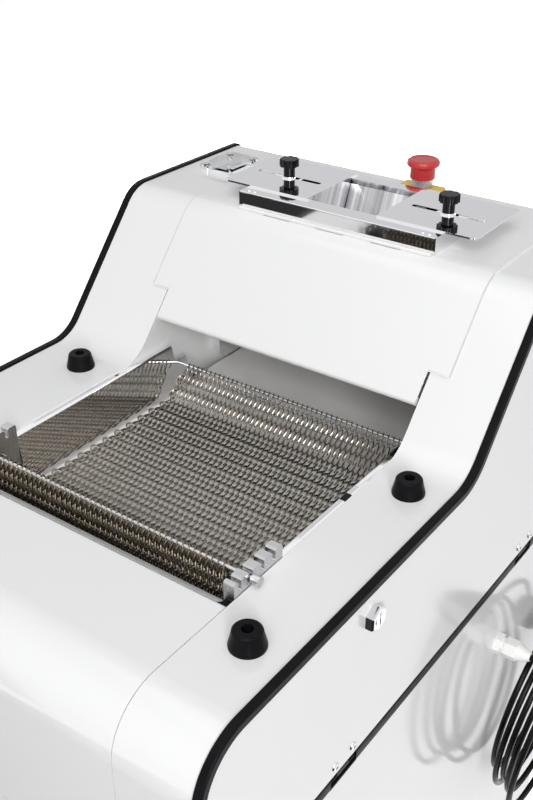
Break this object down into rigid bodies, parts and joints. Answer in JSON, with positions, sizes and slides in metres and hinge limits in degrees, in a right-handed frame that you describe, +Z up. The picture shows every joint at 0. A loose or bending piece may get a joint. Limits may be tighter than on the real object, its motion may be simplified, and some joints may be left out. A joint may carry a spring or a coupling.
{
  "type": "dough moulder",
  "caption": "Floor-standing bakery dough moulder: hopper and sheeting rollers in a raised hood, a belt under a hanging curling net, and hinged side doors.",
  "frame": {"origin": "on the floor under the middle of the body", "axes": "+Z up, -Y towards the operator, +X to the operator's right"},
  "size_m": [0.668, 0.793, 1.053],
  "materials": {
    "white_paint": "satin white powder coat",
    "grey_paint": "grey primer paint",
    "black_paint": "black enamel",
    "black_rubber": "matte black rubber",
    "black_plastic": "fine-grained black plastic",
    "polished_steel": "polished stainless steel",
    "satin_steel": "satin stainless steel",
    "net_steel": "woven stainless wire",
    "cast_grey": "grey castings",
    "drum_alloy": "turned aluminium",
    "motor_grey": "die-cast grey housing",
    "white_polymer": "white food-grade polymer",
    "belt_web": "off-white woven conveyor belt",
    "clear_acrylic": "clear acrylic sheet",
    "stop_yellow": "yellow plate",
    "stop_red": "red mushroom head",
    "white_plastic": "white cable gland",
    "cable_grey": "dark rubber cable"
  },
  "bodies": {
    "machine": {"bearings": "cast_grey", "bed_plate": "grey_paint", "belt_bed": "satin_steel", "belt_guides": "polished_steel", "cabinet_panels": "white_paint", "cable_coil": "cable_grey", "cable_gland": "white_plastic", "cable_lead": "cable_grey", "cable_tail": "cable_grey", "clamp_studs": "polished_steel", "conveyor_belt": "belt_web", "curling_net": "net_steel", "deck_bumpers": "black_rubber", "door_hinge_bases": "black_paint", "dough_guides": "satin_steel", "drive_belts": "black_rubber", "flap_hinge": "white_paint", "frame_plates": "white_paint", "front_panel": "white_paint", "gearmotor": "motor_grey", "hopper": "polished_steel", "levelling_feet": "black_plastic", "main_cover": "white_paint", "mains_plug": "cable_grey", "moulding_board": "white_polymer", "net_rods": "satin_steel", "rear_panel": "white_paint", "rod_combs": "satin_steel", "seam_strips": "black_rubber", "stand_posts": "grey_paint", "stop_base": "black_plastic", "stop_plate": "stop_yellow", "tie_bars": "satin_steel", "window_plate": "clear_acrylic", "window_studs": "polished_steel"},
    "left_door": {"left_door": "white_paint", "left_door_trim": "black_rubber", "left_door_fittings": "polished_steel"},
    "right_door": {"right_door": "white_paint", "right_door_trim": "black_rubber", "right_door_fittings": "polished_steel"},
    "front_roller": {"front_sheeting_roller": "white_polymer", "front_roller_gear": "satin_steel"},
    "rear_roller": {"rear_sheeting_roller": "white_polymer", "rear_roller_gear": "satin_steel", "roller_pulleys": "drum_alloy"},
    "left_front_lock": {"left_front_lock": "polished_steel"},
    "left_rear_lock": {"left_rear_lock": "polished_steel"},
    "right_front_lock": {"right_front_lock": "polished_steel"},
    "right_rear_lock": {"right_rear_lock": "polished_steel"},
    "guard_flap": {"guard_flap": "white_paint"},
    "left_guide_plate": {"left_guide_plate": "polished_steel"},
    "right_guide_plate": {"right_guide_plate": "polished_steel"},
    "left_clamp_knob": {"left_clamp_knob": "black_plastic"},
    "right_clamp_knob": {"right_clamp_knob": "black_plastic"},
    "stop_head": {"stop_head": "stop_red"},
    "front_drum": {"front_drum": "drum_alloy"},
    "rear_drum": {"rear_drum": "drum_alloy"},
    "motor_pulley": {"motor_pulley": "drum_alloy"}
  },
  "joints": [
    {"name": "left_door_hinge", "type": "hinge", "parent": "machine", "child": "left_door", "pos_m": [-0.278, 0, 0.658], "axis": [0, -1, 0], "range_deg": [0, 90]},
    {"name": "left_front_lock_turn", "type": "hinge", "parent": "left_door", "child": "left_front_lock", "pos_m": [-0.282, -0.154, 0.818], "axis": [1, 0, 0], "range_deg": [0, 90]},
    {"name": "left_rear_lock_turn", "type": "hinge", "parent": "left_door", "child": "left_rear_lock", "pos_m": [-0.282, 0.246, 0.818], "axis": [1, 0, 0], "range_deg": [0, 90]},
    {"name": "left_plate_slide", "type": "slide", "parent": "machine", "child": "left_guide_plate", "axis": [1, 0, 0], "range_m": [-0.042, 0.042]},
    {"name": "left_knob_turn", "type": "hinge", "parent": "machine", "child": "left_clamp_knob", "pos_m": [-0.097, 0.258, 1.04], "axis": [0, 0, 1], "range_deg": [0, 360]},
    {"name": "right_door_hinge", "type": "hinge", "parent": "machine", "child": "right_door", "pos_m": [0.278, 0, 0.658], "axis": [0, 1, 0], "range_deg": [0, 90]},
    {"name": "right_front_lock_turn", "type": "hinge", "parent": "right_door", "child": "right_front_lock", "pos_m": [0.282, -0.154, 0.818], "axis": [1, 0, 0], "range_deg": [0, 90]},
    {"name": "right_rear_lock_turn", "type": "hinge", "parent": "right_door", "child": "right_rear_lock", "pos_m": [0.282, 0.246, 0.818], "axis": [1, 0, 0], "range_deg": [0, 90]},
    {"name": "right_plate_slide", "type": "slide", "parent": "machine", "child": "right_guide_plate", "axis": [1, 0, 0], "range_m": [-0.042, 0.042]},
    {"name": "right_knob_turn", "type": "hinge", "parent": "machine", "child": "right_clamp_knob", "pos_m": [0.121, 0.258, 1.04], "axis": [0, 0, 1], "range_deg": [0, 360]},
    {"name": "flap_hinge_turn", "type": "hinge", "parent": "machine", "child": "guard_flap", "pos_m": [0.016, 0.183, 1.0088], "axis": [-1, 0, 0], "range_deg": [0, 80]},
    {"name": "stop_press", "type": "slide", "parent": "machine", "child": "stop_head", "axis": [0, 0, -1], "range_m": [0, 0.004]},
    {"name": "rear_drum_spin", "type": "hinge", "parent": "machine", "child": "rear_drum", "pos_m": [0.016, 0.306, 0.742], "axis": [1, 0, 0], "continuous": true},
    {"name": "front_drum_spin", "type": "hinge", "parent": "machine", "child": "front_drum", "pos_m": [0.016, -0.19, 0.742], "axis": [1, 0, 0], "continuous": true},
    {"name": "front_roller_spin", "type": "hinge", "parent": "machine", "child": "front_roller", "pos_m": [0.016, 0.222, 0.92], "axis": [1, 0, 0], "continuous": true},
    {"name": "rear_roller_spin", "type": "hinge", "parent": "machine", "child": "rear_roller", "pos_m": [0.016, 0.29, 0.92], "axis": [1, 0, 0], "continuous": true},
    {"name": "motor_spin", "type": "hinge", "parent": "machine", "child": "motor_pulley", "pos_m": [0.016, 0.206, 0.54], "axis": [1, 0, 0], "continuous": true}
  ],
  "couplings": [
    {"joint": "front_drum_spin", "follows": "rear_drum_spin", "ratio": 1},
    {"joint": "rear_roller_spin", "follows": "rear_drum_spin", "ratio": 1},
    {"joint": "front_roller_spin", "follows": "rear_drum_spin", "ratio": -1},
    {"joint": "motor_spin", "follows": "rear_drum_spin", "ratio": 2}
  ]
}
